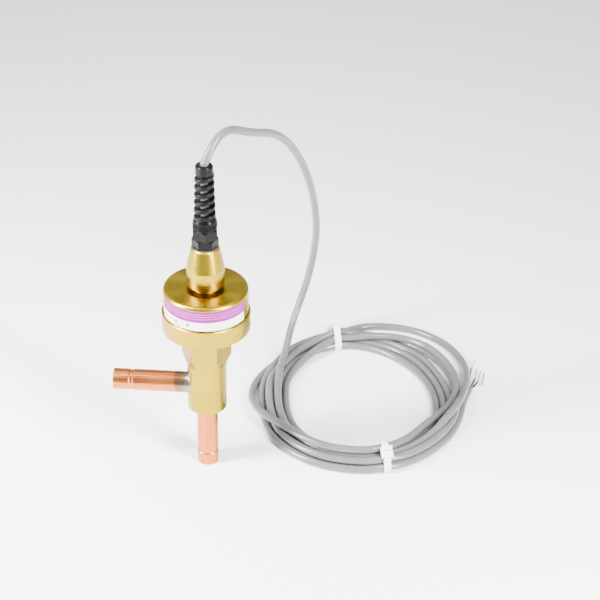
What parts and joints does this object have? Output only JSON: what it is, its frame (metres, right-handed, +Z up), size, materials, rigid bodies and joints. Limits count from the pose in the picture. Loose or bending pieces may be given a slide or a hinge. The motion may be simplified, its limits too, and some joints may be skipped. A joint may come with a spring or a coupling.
{
  "type": "angle pattern electric expansion valve",
  "caption": "Angle-pattern electric expansion valve: brass body, copper side and bottom stubs, stepper motor housing, flexible cable gland and a tied coil of four-core cable.",
  "frame": {"origin": "middle of the outlet stub's mouth, at the bottom of the valve", "axes": "+Z up the valve's axis towards the cable gland; -X along the inlet stub towards its mouth; +Y to the back"},
  "size_m": [0.2577, 0.2031, 0.248],
  "materials": {
    "polished_brass": "polished",
    "seat_brass": "machined",
    "copper": "drawn copper tube, lightly polished",
    "braze_filler": "silver braze, dull",
    "printed_label": "magenta over white, glossy film",
    "black_nylon": "moulded, slightly glossy",
    "black_rubber": "moulded",
    "cable_jacket": "grey PVC, glossy",
    "tie_nylon": "natural nylon",
    "green_insulation": "PVC",
    "red_insulation": "PVC",
    "black_insulation": "PVC",
    "white_insulation": "PVC",
    "tinned_copper": "tinned strands",
    "steel": "machined stainless",
    "stator_steel": "plated sheet",
    "gear_brass": "cut",
    "nut_bronze": "bronze",
    "magnet": "sintered ferrite",
    "inner_plastic": "glass-filled nylon",
    "enamelled_wire": "enamelled copper wire",
    "header_glass": "fused glass",
    "inner_leads": "thin insulated leads",
    "potting": "epoxy"
  },
  "bodies": {
    "valve": {"bearing_outer_race": "steel", "bearing_retainer": "seat_brass", "bobbins": "inner_plastic", "cable": "cable_jacket", "cable_coil": "cable_jacket", "cable_entry": "cable_jacket", "cable_tail": "cable_jacket", "cable_tie_back": "tie_nylon", "cable_tie_front": "tie_nylon", "cable_tower": "polished_brass", "gland_body": "black_nylon", "gland_gasket": "black_rubber", "gland_nut": "black_nylon", "gland_seal": "black_rubber", "header_disc": "steel", "header_glass": "header_glass", "header_pins": "steel", "housing_base": "polished_brass", "housing_cap": "polished_brass", "housing_label": "printed_label", "housing_seal": "black_rubber", "idler_shaft": "steel", "inlet_braze": "braze_filler", "inlet_stub": "copper", "motor_bush_lower": "seat_brass", "motor_bush_upper": "seat_brass", "motor_leads": "inner_leads", "motor_plate": "steel", "motor_posts": "steel", "motor_screws": "steel", "outlet_braze": "braze_filler", "outlet_stub": "copper", "pin_sleeve": "seat_brass", "pole_plates": "stator_steel", "screw_guide": "seat_brass", "stator_cup_lower": "stator_steel", "stator_cup_upper": "stator_steel", "terminal_block": "inner_plastic", "tower_leads": "inner_leads", "tower_lock_ring": "steel", "tower_potting": "potting", "valve_body": "polished_brass", "valve_seat": "seat_brass", "windings": "enamelled_wire", "wire_black": "black_insulation", "wire_green": "green_insulation", "wire_red": "red_insulation", "wire_tips": "tinned_copper", "wire_white": "white_insulation"},
    "rotor": {"rotor_shaft": "steel", "rotor_hub": "inner_plastic", "rotor_magnet": "magnet", "rotor_pinion": "gear_brass"},
    "idler": {"idler_gear": "gear_brass"},
    "drive": {"drive_nut": "nut_bronze", "drive_gear": "gear_brass", "bearing_inner_race": "steel"},
    "balls": {"bearing_balls": "steel"},
    "pin": {"lead_screw": "steel", "valve_pin": "steel"}
  },
  "joints": [
    {"name": "pin_slide", "type": "slide", "parent": "valve", "child": "pin", "axis": [0, 0, 1], "range_m": [0, 0.00317]},
    {"name": "rotor_spin", "type": "hinge", "parent": "valve", "child": "rotor", "pos_m": [0, 0, 0.125], "axis": [0, 0, -1], "range_deg": [0, 5760]},
    {"name": "idler_spin", "type": "hinge", "parent": "valve", "child": "idler", "pos_m": [0.012, 0, 0.1175], "axis": [0, 0, -1], "range_deg": [-2880, 0]},
    {"name": "drive_spin", "type": "hinge", "parent": "valve", "child": "drive", "pos_m": [0, 0, 0.11], "axis": [0, 0, -1], "range_deg": [0, 1440]},
    {"name": "ball_orbit", "type": "hinge", "parent": "valve", "child": "balls", "pos_m": [0, 0, 0.107], "axis": [0, 0, -1], "range_deg": [0, 620]}
  ],
  "couplings": [
    {"joint": "rotor_spin", "follows": "pin_slide", "rad_per_m": 31663},
    {"joint": "idler_spin", "follows": "pin_slide", "rad_per_m": -15832},
    {"joint": "drive_spin", "follows": "pin_slide", "rad_per_m": 7915.8},
    {"joint": "ball_orbit", "follows": "pin_slide", "rad_per_m": 3406.9}
  ]
}
